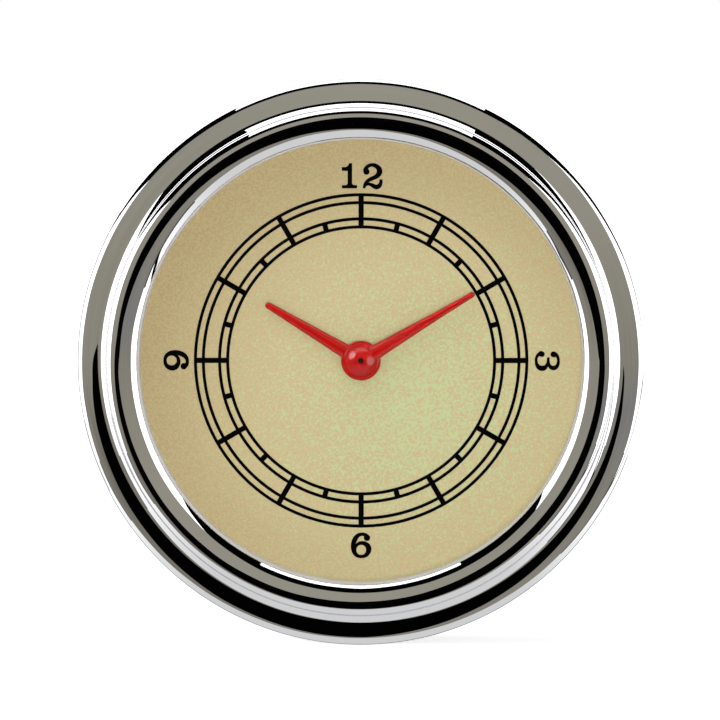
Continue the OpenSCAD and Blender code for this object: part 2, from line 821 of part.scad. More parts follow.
module lamp_bulb() {
    glass_r = 4.4;
    foot = can_floor + 1.1;
    top = can_floor + 13.5;
    color([0.95, 0.95, 0.9], 0.5) upright() at(lamp_at) rotate_extrude() polygon(concat(
        [[0, foot], [3.4, foot], [glass_r, foot + 3]],
        arc([0, top - glass_r], glass_r, 0, 90, 8)
    ));
}

module lamp_contacts() {
    color("goldenrod") upright() at(lamp_at) for (s = [-1, 1])
        translate([s * 2.6 - 0.3, -1.5, can_back - 12.4]) cube([0.6, 3, 12.9]);
}

// U-shaped strap behind the can: its feet press on the back of the panel
module clamp_bracket() {
    foot_z = -panel_gap;
    outer = strap_inner + strap_t;
    bend_c = [strap_inner - strap_bend, strap_front + strap_bend];
    foot_c = [outer + foot_bend, foot_z - strap_t - foot_bend];
    half = concat(
        arc(bend_c, strap_bend + strap_t, -90, 0, 6),
        arc(foot_c, foot_bend, 180, 90, 4),
        [[foot_end, foot_z - strap_t], [foot_end, foot_z]],
        arc(foot_c, foot_bend + strap_t, 90, 180, 5),
        arc(bend_c, strap_bend, 0, -90, 6)
    );
    color([0.72, 0.72, 0.7]) upright() difference() {
        rotate([90, 0, 0]) translate([0, 0, -strap_w / 2]) linear_extrude(strap_w)
            polygon(concat(half, [for (p = backwards(half)) [-p[0], p[1]]]));
        for (s = [-1, 1], side = [-1, 1]) at([s * stud_spacing / 2 + side, 0])
            rod(stud_r + 0.3, strap_back - 1, strap_front + 1);
        for (s = [-1, 1]) translate([s * stud_spacing / 2, 0, strap_front])
            cube([2, 2 * stud_r + 0.6, 4], center = true);
    }
}

module clamp_washers() {
    color("silver") upright() for (s = [-1, 1]) at([s * stud_spacing / 2, 0])
        ring(4.9, stud_r + 0.15, strap_back - clamp_washer_t, strap_back);
}

// Thumb nut: a knurled drum with a plain collar
module thumb_nut(side) {
    top = strap_back - clamp_washer_t;
    color("goldenrod") upright() at([side * stud_spacing / 2, 0]) rotate_extrude() polygon([
        [stud_r + running, top], [3.4, top], [3.4, top - 0.9], [4.4, top - 0.9], [4.7, top - 1.2],
        [4.7, top - clamp_nut_h + 0.3], [4.4, top - clamp_nut_h], [stud_r + running, top - clamp_nut_h]
    ]);
}

module clamp_nut_left() {
    thumb_nut(-1);
}

module clamp_nut_right() {
    thumb_nut(1);
}

bezel();
lens();
lens_gasket();
light_ring();
case_can();
dial();
hour_hand();
minute_hand();
hour_wheel();
cannon_pinion();
centre_arbor();
centre_wheel();
clutch_spring();
minute_wheel();
setting_wheel();
setting_arbor();
setting_knob();
transfer_wheel();
transfer_arbor();
rotor_magnet();
rotor_pinion();
stator();
stator_screws();
coil_core();
coil_bobbin();
coil_winding();
coil_pins();
front_plate();
rear_plate();
plate_pillars();
plate_screws();
circuit_board();
board_spacers();
board_screws();
quartz_crystal();
driver_chip();
capacitor();
surge_diode();
mounting_studs();
stud_sleeves();
stud_washers();
stud_nuts();
terminal_bushes();
power_terminal();
ground_terminal();
lamp_holder();
lamp_bulb();
lamp_contacts();
clamp_bracket();
clamp_washers();
clamp_nut_left();
clamp_nut_right();
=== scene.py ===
import math

import bpy
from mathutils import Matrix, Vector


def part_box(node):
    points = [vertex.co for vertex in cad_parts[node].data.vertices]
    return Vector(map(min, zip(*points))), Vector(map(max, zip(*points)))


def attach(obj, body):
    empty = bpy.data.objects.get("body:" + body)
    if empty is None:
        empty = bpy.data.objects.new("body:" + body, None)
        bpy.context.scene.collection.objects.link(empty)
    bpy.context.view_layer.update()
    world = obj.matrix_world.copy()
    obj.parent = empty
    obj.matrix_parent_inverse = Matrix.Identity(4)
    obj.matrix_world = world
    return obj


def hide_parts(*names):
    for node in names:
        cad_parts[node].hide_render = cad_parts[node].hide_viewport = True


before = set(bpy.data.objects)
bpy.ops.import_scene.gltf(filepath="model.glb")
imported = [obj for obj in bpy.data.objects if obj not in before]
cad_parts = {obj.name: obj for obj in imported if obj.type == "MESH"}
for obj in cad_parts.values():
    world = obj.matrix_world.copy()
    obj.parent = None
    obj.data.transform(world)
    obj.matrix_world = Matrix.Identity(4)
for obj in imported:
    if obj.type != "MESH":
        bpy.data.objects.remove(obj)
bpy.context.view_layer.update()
bpy.ops.object.select_all(action="DESELECT")

# Camera
# It stands far off in front of the dial, a very little to the right and above, as in the
# photograph: there the bezel's crest and lip lie slightly lower and further left than its edge.
# The lens is long, so the picture is nearly without perspective.
mm = 0.001
low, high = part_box("bezel")
bezel_r = high[0]
bezel_front = low[1]
picture_span = 76.6 * mm
picture_left, picture_drop = 0.1 * mm, 0.07 * mm
focal, sensor = 1000, 36
camera_distance = picture_span * focal / sensor
lift, swing = math.radians(1.2), math.radians(1)
bpy.ops.object.camera_add(
    location=(
        camera_distance * math.cos(lift) * math.sin(swing) - picture_left,
        -camera_distance * math.cos(lift) * math.cos(swing),
        camera_distance * math.sin(lift) + picture_drop,
    ),
    rotation=(math.pi / 2 - lift, 0, swing),
)
camera = bpy.context.object
camera.data.lens = focal
camera.data.sensor_width = sensor
camera.data.clip_end = 20
bpy.context.scene.camera = camera
bpy.context.scene.view_settings.view_transform = "Standard"


class Value:
    """What a node gives, wrapped so that shader maths is written as sums."""

    def __init__(self, finish, socket):
        self.finish, self.socket = finish, socket

    def maths(self, operation, first, second=0.0):
        return self.finish.add("ShaderNodeMath", {"operation": operation}, {0: first, 1: second})

    def __add__(self, other):
        return self.maths("ADD", self, other)

    def __radd__(self, other):
        return self.maths("ADD", other, self)

    def __sub__(self, other):
        return self.maths("SUBTRACT", self, other)

    def __rsub__(self, other):
        return self.maths("SUBTRACT", other, self)

    def __mul__(self, other):
        return self.maths("MULTIPLY", self, other)

    def __rmul__(self, other):
        return self.maths("MULTIPLY", other, self)

    def __truediv__(self, other):
        return self.maths("DIVIDE", self, other)

    def __gt__(self, other):
        return self.maths("GREATER_THAN", self, other)

    def __lt__(self, other):
        return self.maths("LESS_THAN", self, other)

    def __or__(self, other):
        return self.maths("MAXIMUM", self, other)

    def __and__(self, other):
        return self.maths("MINIMUM", self, other)


class Finish:
    """A material or the studio's surroundings: a node tree to which nodes are added one by one."""

    def __init__(self, name, holder=None, shader="Principled BSDF"):
        self.holder = holder or bpy.data.materials.new(name)
        self.holder.use_nodes = True
        self.tree = self.holder.node_tree
        self.shader = self.tree.nodes[shader]

    def add(self, kind, settings={}, values={}, output=0):
        node = self.tree.nodes.new(kind)
        for name, setting in settings.items():
            if name == "stops":
                stops = node.color_ramp.elements
                while len(stops) < len(setting):
                    stops.new(0.5)
                for stop, (place, colour) in zip(stops, setting):
                    stop.position = place
                    stop.color = colour if isinstance(colour, tuple) else (colour,) * 3 + (1,)
            elif name == "interpolation":
                node.color_ramp.interpolation = setting
            else:
                setattr(node, name, setting)
        for name, value in values.items():
            self.feed(node.inputs[name], value)
        if isinstance(output, tuple):
            return [Value(self, node.outputs[one]) for one in output]
        return Value(self, node.outputs[output])

    def feed(self, socket, value):
        if isinstance(value, Value):
            self.tree.links.new(value.socket, socket)
        elif socket.type == "RGBA" and len(value) == 3:
            socket.default_value = (*value, 1)
        else:
            socket.default_value = value

    def set(self, **values):
        for name, value in values.items():
            self.feed(self.shader.inputs[name.replace("_", " ")], value)
        return self

    def place(self):
        return self.add("ShaderNodeTexCoord", output="Object")

    def blend(self, share, first, second):
        """A mix of two colours. Mix takes them at its sockets 6 and 7, and gives a colour at 2."""
        return self.add(
            "ShaderNodeMix", {"data_type": "RGBA"}, {0: share, 6: first, 7: second}, output=2
        )

    def ramp(self, value, start, end, kind="LINEAR"):
        """0 where value is at start, 1 where it is at end, and in between on the way."""
        return self.add(
            "ShaderNodeMapRange",
            {"interpolation_type": kind},
            {"Value": value, "From Min": start, "From Max": end},
        )

    def noise(self, scale, detail=2.0, roughness=0.5, place=None):
        return self.add(
            "ShaderNodeTexNoise",
            values={
                "Vector": place or self.place(),
                "Scale": scale,
                "Detail": detail,
                "Roughness": roughness,
            },
            output="Fac",
        )

    def bump(self, height, strength, distance):
        return self.add(
            "ShaderNodeBump", values={"Height": height, "Strength": strength, "Distance": distance}
        )


def shade(red, green, blue):
    """A colour as it looks on a screen, 0 to 255, turned into the light values that shaders use."""
    parts = [c / 255 for c in (red, green, blue)]
    return tuple(c / 12.92 if c <= 0.04045 else ((c + 0.055) / 1.055) ** 2.4 for c in parts)


def metal(name, dull, bright, roughness, spread=0.1, grain=900, cloud=120, dents=0.0):
    """Plated or bare metal: two clouded tones, with a fine grain in its gloss."""
    finish = Finish(name)
    clouds = finish.noise(cloud, detail=4)
    fine = finish.noise(grain, detail=3)
    finish.set(
        Base_Color=finish.blend(clouds, dull, bright),
        Metallic=1.0,
        Roughness=roughness + (fine - 0.5) * spread + (clouds - 0.5) * spread,
    )
    if dents:
        finish.set(Normal=finish.bump(fine, dents, 0.02 * mm))
    return finish


def moulded(name, dark, light, roughness, grain=1500, depth=0.15):
    """Moulded plastic, rubber or fibre: an even, faintly clouded colour and a fine grain."""
    finish = Finish(name)
    clouds = finish.noise(250, detail=3)
    fine = finish.noise(grain, detail=2)
    finish.set(
        Base_Color=finish.blend(clouds, dark, light),
        Roughness=roughness + (fine - 0.5) * 0.2,
        Normal=finish.bump(fine, depth, 0.03 * mm),
    )
    return finish


def give(finish, *nodes):
    for name in nodes:
        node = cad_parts[name]
        for slot in node.material_slots:
            slot.material = finish.holder


# Wheels and pinions
# Stamped brass wheels on cut steel pinions and arbors, from the rotor up to the hands. The hour
# wheel and its tube are one brass piece, and the setting wheel is moulded.
gear_brass = metal("gear_brass", shade(176, 138, 66), shade(222, 186, 104), 0.28)
bright_steel = metal("bright_steel", shade(150, 152, 156), shade(206, 208, 212), 0.22)
give(gear_brass, "centre_wheel", "hour_wheel", "transfer_wheel", "minute_wheel")
give(bright_steel, "centre_arbor", "cannon_pinion", "rotor_pinion", "transfer_arbor")
give(bright_steel, "clutch_spring", "setting_arbor", "plate_pillars", "plate_screws")
give(bright_steel, "stator_screws", "board_spacers", "board_screws")

# Motor
# A bonded magnet turns inside a soft-iron stator. The coil is copper wire on a nylon bobbin,
# wound round an iron core whose feet lie on the stator.
nylon = moulded("nylon", shade(214, 206, 186), shade(236, 230, 214), 0.45)
give(metal("bonded_magnet", shade(52, 52, 56), shade(86, 86, 90), 0.5), "rotor_magnet")
give(metal("soft_iron", shade(112, 113, 116), shade(160, 161, 165), 0.42), "stator", "coil_core")
winding = Finish("copper_wire")
turns = winding.add(
    "ShaderNodeTexWave",
    {"wave_type": "BANDS", "bands_direction": "X"},
    {"Vector": winding.place(), "Scale": 2600.0, "Distortion": 0.6, "Detail": 1.0},
    output="Fac",
)
winding.set(
    Base_Color=winding.blend(turns, shade(118, 46, 20), shade(206, 112, 62)),
    Metallic=0.9,
    Roughness=0.3 + turns * 0.1,
    Normal=winding.bump(turns, 0.6, 0.05 * mm),
)
give(winding, "coil_winding")
give(nylon, "coil_bobbin", "setting_wheel")
give(bright_steel, "coil_pins")

# Plates
# Two ivory mouldings hold the arbors. The front one carries the dial, the rear one the motor,
# the studs and the circuit board.
ivory = moulded("ivory_plastic", shade(206, 196, 164), shade(228, 220, 192), 0.4)
give(ivory, "front_plate", "rear_plate")

# Circuit board
# A green glass-fibre board with a quartz can, a driver chip, a capacitor in blue sleeve and a
# surge diode. It stands on three spacers behind the rear plate.
board = Finish("board_green")
weave = board.add(
    "ShaderNodeTexChecker",
    values={"Vector": board.place(), "Scale": 1800.0},
    output="Fac",
)
lacquer = board.noise(300) * 0.7 + weave * 0.15
board.set(
    Base_Color=board.blend(lacquer, shade(14, 74, 40), shade(36, 118, 66)),
    Roughness=0.32 + weave * 0.05,
    Coat_Weight=0.3,
)
give(board, "circuit_board")
give(moulded("chip_epoxy", shade(22, 22, 24), shade(38, 38, 40), 0.5), "driver_chip", "surge_diode")
give(moulded("capacitor_sleeve", shade(24, 30, 84), shade(38, 46, 112), 0.25), "capacitor")
give(bright_steel, "quartz_crystal")

# Can
# Deep-drawn steel with a flange at its mouth, passivated black-grey. It goes through the panel,
# and its back has the holes for studs, lamp, setting knob and terminals.
can_steel = metal(
    "can_steel", shade(62, 63, 66), shade(96, 97, 100), 0.42, spread=0.16, cloud=60, dents=0.25
)
give(can_steel, "case_can")

# Dial
# A flat metal disc, sprayed with champagne paint whose fine metal flakes show as a green-gold
# speckle. It is held by two feet in the front plate. Light and shade are painted into its colour:
# it is painted brightest below and to the right of the middle and darker towards the rim, where
# the bezel shades it, and the flakes are set to show most at that painted bright spot.
champagne = Finish("dial_paint")
spot = champagne.place()
flakes = champagne.noise(4600, detail=1.2, roughness=0.55, place=spot)
grains = champagne.ramp(champagne.noise(5200, detail=1, place=spot), 0.48, 0.52)
dial_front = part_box("dial")[0][1]
# Painted light and shade: the paint is made brightest round this spot and darker towards the rim.
painted_light_place = (5.6 * mm, dial_front, -4.4 * mm)
painted_light_r, painted_shade_r = 13 * mm, 35 * mm
flakes_lost = 10
painted_light_reach = champagne.add(
    "ShaderNodeVectorMath", {"operation": "DISTANCE"}, {0: spot, 1: painted_light_place}, output="Value"
)
painted_shade = champagne.ramp(painted_light_reach, painted_light_r, painted_shade_r, "SMOOTHSTEP")
painted_lit_tone = champagne.blend(grains, shade(209, 185, 142), shade(205, 196, 148))
painted_shaded_tone = champagne.blend(grains, shade(180, 157, 115), shade(189, 173, 124))
flake_tone_with_painted_shade = champagne.blend(painted_shade, shade(200, 210, 154), shade(190, 182, 127))
# The flakes are set to show most near the painted bright spot and to thin out towards the rim.
speckle = champagne.ramp(flakes - painted_light_reach * flakes_lost, 0.445, 0.46)
champagne.set(
    Base_Color=champagne.blend(speckle, champagne.blend(painted_shade, painted_lit_tone, painted_shaded_tone), flake_tone_with_painted_shade),
    Roughness=0.5 + flakes * 0.15,
    Normal=champagne.bump(flakes, strength=0.12, distance=0.01 * mm),
)
give(champagne, "dial")

# Chapter ring
# Four thin circles with twelve long hour bars across all of them, and twelve half-hour bars
# across the inner pair. It is pad-printed in black ink that stands a little off the paint.
ink = Finish("printing_ink")
ink.set(
    Base_Color=ink.blend(ink.noise(3000), shade(2, 2, 2), shade(7, 7, 7)),
    Roughness=0.5 + ink.noise(1800) * 0.15,
    Specular_IOR_Level=0.06,
)
ink_t = 0.02 * mm
over_circles, over_outline = 1.1, 1.05
circle_radii = [r * mm for r in (14.21, 15.07, 16.80, 17.64)]
circle_w = 0.335 * mm
bar_w = 0.565 * mm


def turned(name, outline, centre=(0, 0), around=256, angle=35):
    """A piece turned on a lathe: a circle is drawn out along outline, a list of (radius, depth)."""
    bpy.ops.object.select_all(action="DESELECT")
    (radius, depth), rest = outline[0], outline[1:]
    bpy.ops.mesh.primitive_circle_add(
        vertices=around,
        radius=radius,
        location=(centre[0], depth, centre[1]),
        rotation=(math.pi / 2, 0, 0),
    )
    piece = bpy.context.object
    piece.name = name
    bpy.ops.object.transform_apply(location=True, rotation=True, scale=True)
    bpy.ops.object.mode_set(mode="EDIT")
    bpy.ops.mesh.select_all(action="SELECT")
    for next_radius, next_depth in rest:
        bpy.ops.mesh.extrude_edges_move(
            TRANSFORM_OT_translate={"value": (0, next_depth - depth, 0)}
        )
        wider = next_radius / radius
        bpy.ops.transform.resize(
            value=(wider, 1, wider), center_override=(centre[0], next_depth, centre[1])
        )
        radius, depth = next_radius, next_depth
    close(piece, angle)
    return piece


def close(piece, angle=35, gap=0.0005 * mm):
    """Joins the points that meet, turns every face outwards and smooths all but the sharp edges."""
    bpy.ops.mesh.select_all(action="SELECT")
    bpy.ops.mesh.remove_doubles(threshold=gap)
    bpy.ops.mesh.normals_make_consistent(inside=False)
    bpy.ops.object.mode_set(mode="OBJECT")
    bpy.ops.object.shade_smooth_by_angle(angle=math.radians(angle))


def finished(piece, finish, body, slot, *nodes):
    """Gives a piece its material and its body, and hides the nodes that it stands for. slot is not
    used.
    """
    piece.data.materials.clear()
    piece.data.materials.append(finish.holder)
    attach(piece, body)
    if nodes:
        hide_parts(*nodes)


def joined(name, pieces):
    bpy.ops.object.select_all(action="DESELECT")
    for piece in pieces:
        piece.select_set(True)
    bpy.context.view_layer.objects.active = pieces[0]
    bpy.ops.object.join()
    pieces[0].name = name
    return pieces[0]


def copied(piece, turn=0, right=0):
    """A copy with its own mesh, turned clockwise round the dial or moved to the right."""
    bpy.ops.object.select_all(action="DESELECT")
    piece.select_set(True)
    bpy.context.view_layer.objects.active = piece
    bpy.ops.object.duplicate()
    copy = bpy.context.object
    copy.rotation_euler = (0, math.radians(turn), 0)
    copy.location = (right, 0, 0)
    bpy.ops.object.transform_apply(location=True, rotation=True, scale=True)
    return copy


prints = []
for radius in circle_radii:
    inner, outer = radius - circle_w / 2, radius + circle_w / 2
    section = [
        (inner, dial_front),
        (inner, dial_front - ink_t),
        (outer, dial_front - ink_t),
        (outer, dial_front),
    ]
    prints.append(turned("circle", section + section[:1], around=192))


def bar(inner, outer, clock):
    """One printed bar, from inner to outer radius, at an angle clockwise from 12."""
    bpy.ops.object.select_all(action="DESELECT")
    bpy.ops.mesh.primitive_plane_add(
        size=1, location=(0, dial_front, (inner + outer) / 2), rotation=(math.pi / 2, 0, 0)
    )
    piece = bpy.context.object
    piece.scale = (bar_w, outer - inner, 1)
    bpy.ops.object.transform_apply(location=True, rotation=True, scale=True)
    bpy.ops.object.mode_set(mode="EDIT")
    bpy.ops.mesh.select_all(action="SELECT")
    bpy.ops.mesh.extrude_region_move(
        TRANSFORM_OT_translate={"value": (0, -ink_t * over_circles, 0)}
    )
    bpy.ops.object.mode_set(mode="OBJECT")
    piece.rotation_euler = (0, math.radians(clock), 0)
    bpy.ops.object.transform_apply(location=True, rotation=True, scale=True)
    bpy.ops.object.mode_set(mode="EDIT")
    close(piece)
    return piece


hour_bar = bar(circle_radii[0] - circle_w / 2, circle_radii[3] + circle_w / 2, 0)
half_hour_bar = bar(circle_radii[0], circle_radii[1], 15)
for first in (hour_bar, half_hour_bar):
    prints += [first] + [copied(first, turn=30 * hour) for hour in range(1, 12)]
finished(joined("chapter_ring", prints), ink, "case", "dial_paint")

# Numerals
# 12, 3, 6 and 9 in a bold slab-serif form with round balls, printed with the same black ink. All
# but the 6 stand with their heads outwards, and the 9 is the 6 turned round. Each outline is drawn
# from its own foot, in mm, as (right, up, 1 at a corner or 0 on a curve).
numeral_r = 18.32 * mm
one = [
    (-0.81, 0, 1), (0.81, 0, 1), (0.81, 0.34, 1), (0.4, 0.37, 0), (0.28, 0.5, 1), (0.28, 2.68, 1),
    (-0.05, 2.68, 1), (-0.13, 2.47, 0), (-0.28, 2.33, 0), (-0.5, 2.26, 0), (-0.81, 2.27, 1),
    (-0.81, 1.86, 1), (-0.2, 1.86, 1), (-0.2, 0.5, 1), (-0.32, 0.37, 0), (-0.81, 0.34, 1),
]
two = [
    (-0.98, 1.82, 0), (-0.9, 2.2, 0), (-0.62, 2.5, 0), (-0.04, 2.69, 0), (0.54, 2.55, 0),
    (0.92, 2.22, 0), (1.04, 1.84, 0), (0.94, 1.46, 0), (0.6, 1.1, 0), (0.09, 0.87, 0),
    (-0.43, 0.64, 1), (0.02, 0.53, 0), (0.36, 0.4, 0), (0.58, 0.47, 0), (0.7, 0.66, 0),
    (0.72, 0.95, 1), (1.06, 0.95, 1), (1.05, 0.5, 0), (0.87, 0.1, 0), (0.5, -0.1, 0),
    (0.14, -0.04, 0), (-0.2, 0.19, 0), (-0.55, 0.29, 0), (-0.72, 0.16, 0), (-0.76, 0, 1),
    (-1.05, 0, 1), (-0.97, 0.46, 0), (-0.72, 0.87, 0), (-0.21, 1.22, 0), (0.2, 1.42, 0),
    (0.42, 1.7, 0), (0.4, 2.02, 0), (0.19, 2.2, 0), (-0.12, 2.3, 0), (-0.39, 2.17, 0),
    (-0.5, 2.0, 1),
]
six = [
    (-1.1, 1.3, 0), (-1.05, 0.85, 0), (-0.86, 0.42, 0), (-0.5, 0.11, 0), (0.0, 0.0, 0),
    (0.5, 0.08, 0), (0.88, 0.38, 0), (1.09, 0.9, 0), (0.98, 1.38, 0), (0.64, 1.7, 0),
    (0.14, 1.83, 0), (-0.26, 1.75, 0), (-0.55, 1.55, 1), (-0.42, 1.88, 0), (-0.22, 2.22, 0),
    (0.07, 2.37, 0), (0.36, 2.32, 1), (0.8, 2.47, 1), (0.5, 2.67, 0), (0.12, 2.73, 0),
    (-0.28, 2.68, 0), (-0.6, 2.5, 0), (-0.9, 2.1, 0), (-1.06, 1.66, 0),
]
six_eye = [
    (-0.5, 0.89, 0), (-0.36, 1.26, 0), (0.01, 1.42, 0), (0.38, 1.26, 0), (0.52, 0.89, 0),
    (0.38, 0.5, 0), (0.01, 0.36, 0), (-0.36, 0.5, 0),
]
three = [
    (-0.98, 0.78, 0), (-0.8, 0.32, 0), (-0.4, 0.06, 0), (0.08, 0.0, 0), (0.62, 0.09, 0),
    (1.0, 0.38, 0), (1.12, 0.78, 0), (0.98, 1.18, 0), (0.67, 1.42, 1), (0.92, 1.62, 0),
    (1.04, 1.98, 0), (0.9, 2.38, 0), (0.5, 2.62, 0), (0.0, 2.67, 0), (-0.5, 2.58, 0),
    (-0.86, 2.3, 0), (-0.98, 2.0, 1), (-0.48, 2.05, 1), (-0.3, 2.28, 0), (0.05, 2.36, 0),
    (0.42, 2.26, 0), (0.57, 1.98, 0), (0.42, 1.7, 0), (0.1, 1.6, 0), (-0.33, 1.59, 1),
    (-0.33, 1.3, 1), (0.12, 1.27, 0), (0.45, 1.1, 0), (0.55, 0.8, 0), (0.42, 0.46, 0),
    (0.05, 0.31, 0), (-0.35, 0.37, 0), (-0.5, 0.62, 1),
]


def drawn(name, outlines, balls):
    """A flat printed shape: each outline is a closed curve through its points."""
    bpy.ops.object.select_all(action="DESELECT")
    bpy.ops.curve.primitive_bezier_curve_add()
    curve = bpy.context.object
    curve.data.splines.clear()
    for points in outlines:
        line = curve.data.splines.new("BEZIER")
        line.bezier_points.add(len(points) - 1)
        line.use_cyclic_u = True
        for point, (right, up, corner) in zip(line.bezier_points, points):
            point.co = (right * mm, up * mm, 0)
            point.handle_left_type = point.handle_right_type = "VECTOR" if corner else "AUTO"
    curve.data.dimensions = "2D"
    curve.data.fill_mode = "BOTH"
    curve.data.resolution_u = 6
    curve.data.extrude = ink_t / 2
    bpy.ops.object.convert(target="MESH")
    parts = [bpy.context.object]
    for right, up, radius in balls:
        bpy.ops.object.select_all(action="DESELECT")
        bpy.ops.mesh.primitive_circle_add(
            vertices=32,
            radius=radius * mm,
            fill_type="NGON",
            location=(right * mm, up * mm, -ink_t / 2),
        )
        disc = bpy.context.object
        bpy.ops.object.transform_apply(location=True, rotation=True, scale=True)
        bpy.ops.object.mode_set(mode="EDIT")
        bpy.ops.mesh.select_all(action="SELECT")
        bpy.ops.mesh.extrude_region_move(
            TRANSFORM_OT_translate={"value": (0, 0, ink_t * over_outline)}
        )
        close(disc)
        parts.append(disc)
    return joined(name, parts)


def printed(name, outlines, balls, right, up, turn):
    """Puts a drawn shape on the dial: right and up place its foot, turn is clockwise."""
    shape = drawn(name, outlines, balls)
    shape.rotation_euler = (math.pi / 2, math.radians(turn), 0)
    shape.location = (right, dial_front - ink_t / 2, up)
    bpy.ops.object.transform_apply(location=True, rotation=True, scale=True)
    bpy.ops.object.mode_set(mode="EDIT")
    close(shape)
    finished(shape, ink, "case", "dial_paint")


two_ball = [(-0.65, 1.77, 0.33)]
three_balls = [(-0.68, 0.76, 0.3), (-0.65, 2.0, 0.32)]
six_ball = [(0.62, 2.17, 0.345)]
one_x, two_x = -1.24 * mm, 1.22 * mm
three_x = numeral_r + 0.16 * mm
six_far = -numeral_r - 2.74 * mm
printed("numeral_12_one", [one], [], one_x, numeral_r, 0)
printed("numeral_12_two", [two], two_ball, two_x, numeral_r, 0)
printed("numeral_3", [three], three_balls, three_x, 0, 90)
printed("numeral_6", [six, six_eye], six_ball, 0, six_far, 0)
printed("numeral_9", [six, six_eye], six_ball, six_far, 0, 90)

# Hands
# Two stamped hands with round-backed arms that narrow to a round tip, sprayed gloss red. The hour
# hand's hub is a plain disc, and the minute hand's is a round dome with a small hole in its top.
gloss_red = Finish("hand_paint")
tide = gloss_red.noise(420, detail=3)
orange_peel = gloss_red.noise(2600, detail=1)
gloss_red.set(
    Base_Color=gloss_red.blend(tide, shade(146, 6, 4), shade(158, 8, 5)),
    Roughness=0.04 + tide * 0.04,
    IOR=1.6,
    Normal=gloss_red.bump(orange_peel, strength=0.04, distance=0.02 * mm),
)


def hand_arm(name, stations, base, rise, tip_rise, clock, hair=0.001 * mm):
    """An arched arm, drawn out from its root through (distance, width) stations to its tip."""
    bpy.ops.object.select_all(action="DESELECT")
    far, last_width = stations[-1]
    tip_r = last_width / 2
    tip_end, steps = math.radians(84), 7
    rounded = [
        (far + tip_r * math.sin(a), last_width * math.cos(a))
        for a in (tip_end * i / steps for i in range(1, steps + 1))
    ]
    (near, width), path = stations[0], stations[1:] + rounded
    bpy.ops.mesh.primitive_circle_add(vertices=48, radius=width / 2, location=(0, base, near))
    arm = bpy.context.object
    arm.name = name
    bpy.ops.object.transform_apply(location=True, rotation=True, scale=True)
    bpy.ops.object.mode_set(mode="EDIT")
    bpy.ops.mesh.select_all(action="DESELECT")
    bpy.ops.object.mode_set(mode="OBJECT")
    for vertex in arm.data.vertices:
        vertex.select = vertex.co.y > base + hair
    bpy.ops.object.mode_set(mode="EDIT")
    bpy.ops.transform.resize(value=(1, 0, 1), center_override=(0, base, near))
    bpy.ops.mesh.select_all(action="SELECT")
    bpy.ops.transform.resize(value=(1, 2 * rise / width, 1), center_override=(0, base, near))
    bpy.ops.mesh.edge_face_add()
    height = rise
    for distance, next_width in path:
        share = (distance - stations[0][0]) / (far - stations[0][0])
        next_height = rise + (tip_rise - rise) * min(1, share)
        if distance > far:
            next_height = tip_rise * next_width / last_width
        bpy.ops.mesh.extrude_region_move(TRANSFORM_OT_translate={"value": (0, 0, distance - near)})
        bpy.ops.transform.resize(
            value=(next_width / width, next_height / height, 1), center_override=(0, base, distance)
        )
        near, width, height = distance, next_width, next_height
    bpy.ops.object.mode_set(mode="OBJECT")
    arm.rotation_euler = (0, math.radians(clock), 0)
    bpy.ops.object.transform_apply(location=True, rotation=True, scale=True)
    bpy.ops.object.mode_set(mode="EDIT")
    close(arm, 50)
    return arm


def round_path(centre, radius, start, end, steps):
    """Points (radius, depth) on an arc, whose angles turn from outwards towards the viewer."""
    turns = [math.radians(start + (end - start) * i / steps) for i in range(steps + 1)]
    return [(centre[0] + radius * math.cos(a), centre[1] - radius * math.sin(a)) for a in turns]


# The bases are the backs of the hubs, and both arms start a little in front of them. Each hand
# points as far clockwise from 12 as hour_clock and minute_clock say, in degrees.
hour_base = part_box("hour_hand")[1][1]
minute_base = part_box("minute_hand")[1][1]
arm_gap = 0.04 * mm
hour_clock, minute_clock = 300.7, 59.3
hour_rise, hour_tip_rise = 0.5 * mm, 0.3 * mm
minute_rise, minute_tip_rise = 0.62 * mm, 0.34 * mm
hour_stations = [(1.4 * mm, 1.66 * mm), (2.6 * mm, 1.5 * mm), (4.1 * mm, 1.33 * mm),
                 (6.6 * mm, 1.13 * mm), (8.9 * mm, 0.93 * mm), (11.45 * mm, 0.72 * mm)]
minute_stations = [(1.4 * mm, 1.74 * mm), (2.6 * mm, 1.52 * mm), (4.1 * mm, 1.37 * mm),
                   (6.6 * mm, 1.14 * mm), (9.2 * mm, 0.87 * mm), (13.75 * mm, 0.6 * mm)]
tube_r, pipe_r = 1.36 * mm, 0.91 * mm
hub_r = 2.12 * mm
hub_front = hour_base - hour_rise
hub_round = 0.16 * mm
hour_hub = turned(
    "hour_hub",
    [(tube_r, hour_base), (tube_r, hub_front)]
    + round_path((hub_r - hub_round, hub_front + hub_round), hub_round, 90, 0, 8)
    + [(hub_r, hour_base), (tube_r, hour_base)],
    around=96,
)
hour_arm = hand_arm(
    "hour_arm", hour_stations, hour_base - arm_gap, hour_rise, hour_tip_rise, hour_clock
)
finished(joined("hour_hand_painted", [hour_arm, hour_hub]), gloss_red, "hour_hand_group",
         "hand_paint", "hour_hand")

